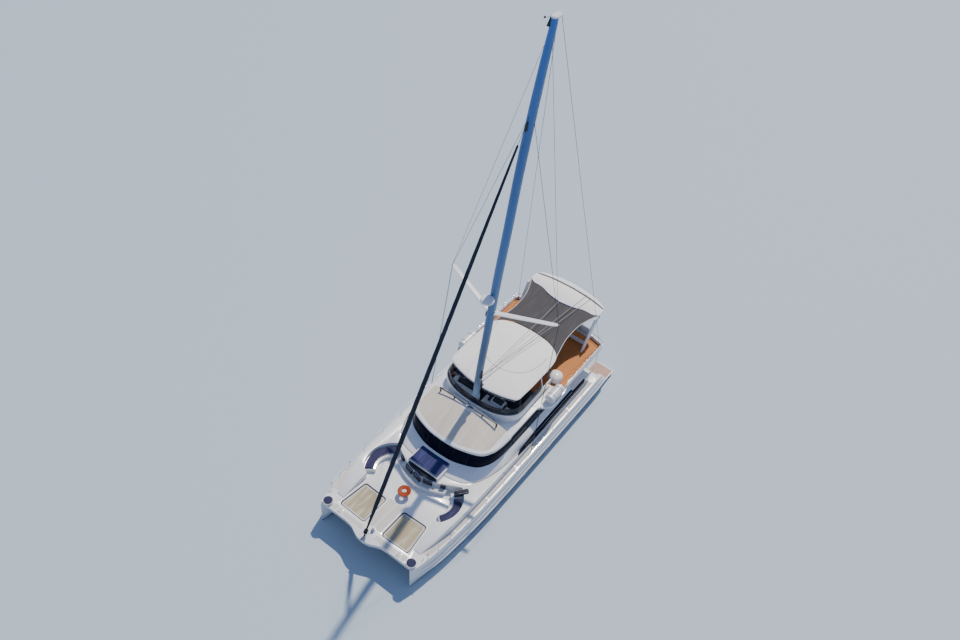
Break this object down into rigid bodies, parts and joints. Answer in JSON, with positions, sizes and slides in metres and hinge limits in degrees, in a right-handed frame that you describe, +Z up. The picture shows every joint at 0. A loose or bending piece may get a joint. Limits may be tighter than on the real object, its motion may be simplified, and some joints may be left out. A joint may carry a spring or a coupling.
{
  "type": "sailing catamaran",
  "caption": "Large cruising sailing catamaran with solid foredeck, bow nets, dark wraparound windows, flybridge with hardtop and mesh shade, aft arch and a tall raked mast with furled headsail.",
  "frame": {"origin": "on the waterline, on the centreline, amidships", "axes": "+X to the bow, +Y to port, +Z up"},
  "size_m": [24.38, 9.72, 33.8],
  "materials": {
    "gelcoat": "glossy off-white gelcoat",
    "non_skid": "matt non-skid deck paint",
    "navy_cloth": "woven acrylic",
    "white_cover": "coated cover cloth",
    "tinted_glass": "deep tint",
    "stainless": "polished",
    "spar_paint": "satin",
    "wire": "dull",
    "sailcloth": "sun-strip cloth",
    "mesh_cloth": "open mesh",
    "netting": "knotless net",
    "varnished_wood": "high gloss varnish",
    "antifoul": "matt",
    "bronze": "machined",
    "teak": "oiled planks with dark caulking",
    "black_trim": "satin",
    "rope": "braided"
  },
  "bodies": {
    "boat": {"hull_port": "gelcoat", "hull_starboard": "gelcoat", "bridgedeck": "gelcoat", "foredeck": "non_skid", "trampoline_port": "netting", "trampoline_starboard": "netting", "bow_roller": "stainless", "bow_seat_port": "navy_cloth", "bow_seat_starboard": "navy_cloth", "lounge_table": "varnished_wood", "lounge_bench_port": "gelcoat", "lounge_bench_starboard": "gelcoat", "lounge_cushion_port": "navy_cloth", "lounge_cushion_starboard": "navy_cloth", "cabin_trunk": "gelcoat", "cabin_windows": "tinted_glass", "aft_bulkhead": "gelcoat", "saloon_pane": "tinted_glass", "coachroof": "non_skid", "flybridge_deck": "gelcoat", "flybridge_coaming": "gelcoat", "windscreen": "tinted_glass", "helm_console": "gelcoat", "helm_seat": "white_cover", "flybridge_sofa": "navy_cloth", "hardtop": "gelcoat", "arch": "gelcoat", "traveller_track": "wire", "mesh_shade": "mesh_cloth", "liferaft_port": "white_cover", "liferaft_starboard": "white_cover", "mast": "spar_paint", "spreader_port": "gelcoat", "spreader_starboard": "gelcoat", "radome": "gelcoat", "shroud_port": "wire", "shroud_starboard": "wire", "backstay_port": "wire", "backstay_starboard": "wire", "headsail_track": "wire", "guard_rail_port": "stainless", "guard_rail_starboard": "stainless", "shaft_port": "stainless", "shaft_starboard": "stainless", "cockpit_seat": "white_cover", "front_locker": "gelcoat", "sun_pad": "navy_cloth", "front_backrest": "navy_cloth"},
    "rudder_port": {"rudder_port": "antifoul"},
    "rudder_starboard": {"rudder_starboard": "antifoul"},
    "propeller_port": {"propeller_port": "bronze"},
    "propeller_starboard": {"propeller_starboard": "bronze"},
    "helm_wheel": {"helm_wheel": "stainless"},
    "saloon_door": {"saloon_door": "tinted_glass"},
    "bow_hatch_port": {"bow_hatch_port": "gelcoat"},
    "bow_hatch_starboard": {"bow_hatch_starboard": "gelcoat"},
    "windlass_drum": {"windlass_drum": "stainless"},
    "furled_headsail": {"furled_headsail": "sailcloth"},
    "headsail_car": {"headsail_car": "stainless"}
  },
  "joints": [
    {"name": "rudder_port_turn", "type": "hinge", "parent": "boat", "child": "rudder_port", "pos_m": [-10.3, 3.85, -0.3], "axis": [0, 0, 1], "range_deg": [-35, 35]},
    {"name": "rudder_starboard_turn", "type": "hinge", "parent": "boat", "child": "rudder_starboard", "pos_m": [-10.3, -3.85, -0.3], "axis": [0, 0, 1], "range_deg": [-35, 35]},
    {"name": "helm_wheel_turn", "type": "hinge", "parent": "boat", "child": "helm_wheel", "pos_m": [-0.56, 1.4, 5.25], "axis": [1, 0, 0], "range_deg": [-350, 350]},
    {"name": "propeller_port_turn", "type": "hinge", "parent": "boat", "child": "propeller_port", "pos_m": [-8.3, 3.85, -1.01], "axis": [0.9925, 0, 0.1219], "continuous": true},
    {"name": "propeller_starboard_turn", "type": "hinge", "parent": "boat", "child": "propeller_starboard", "pos_m": [-8.3, -3.85, -1.01], "axis": [0.9925, 0, 0.1219], "continuous": true},
    {"name": "saloon_door_slide", "type": "slide", "parent": "boat", "child": "saloon_door", "axis": [0, -1, 0], "range_m": [0, 1.48]},
    {"name": "bow_hatch_port_lift", "type": "hinge", "parent": "boat", "child": "bow_hatch_port", "pos_m": [11.36, 2.5, 2.0003], "axis": [0, -1, 0], "range_deg": [0, 90]},
    {"name": "bow_hatch_starboard_lift", "type": "hinge", "parent": "boat", "child": "bow_hatch_starboard", "pos_m": [11.36, -2.5, 2.0003], "axis": [0, -1, 0], "range_deg": [0, 90]},
    {"name": "windlass_turn", "type": "hinge", "parent": "boat", "child": "windlass_drum", "pos_m": [11.35, 0.15, 2], "axis": [0, 0, 1], "continuous": true},
    {"name": "headsail_furl", "type": "hinge", "parent": "boat", "child": "furled_headsail", "pos_m": [12.02, 0, 2.14], "axis": [-0.4775, 0, 0.8787], "continuous": true},
    {"name": "headsail_car_slide", "type": "slide", "parent": "boat", "child": "headsail_car", "axis": [0, 1, 0], "range_m": [-2.2, 2.2]}
  ],
  "couplings": [
    {"joint": "rudder_starboard_turn", "follows": "rudder_port_turn", "ratio": 1},
    {"joint": "helm_wheel_turn", "follows": "rudder_port_turn", "ratio": 10}
  ]
}
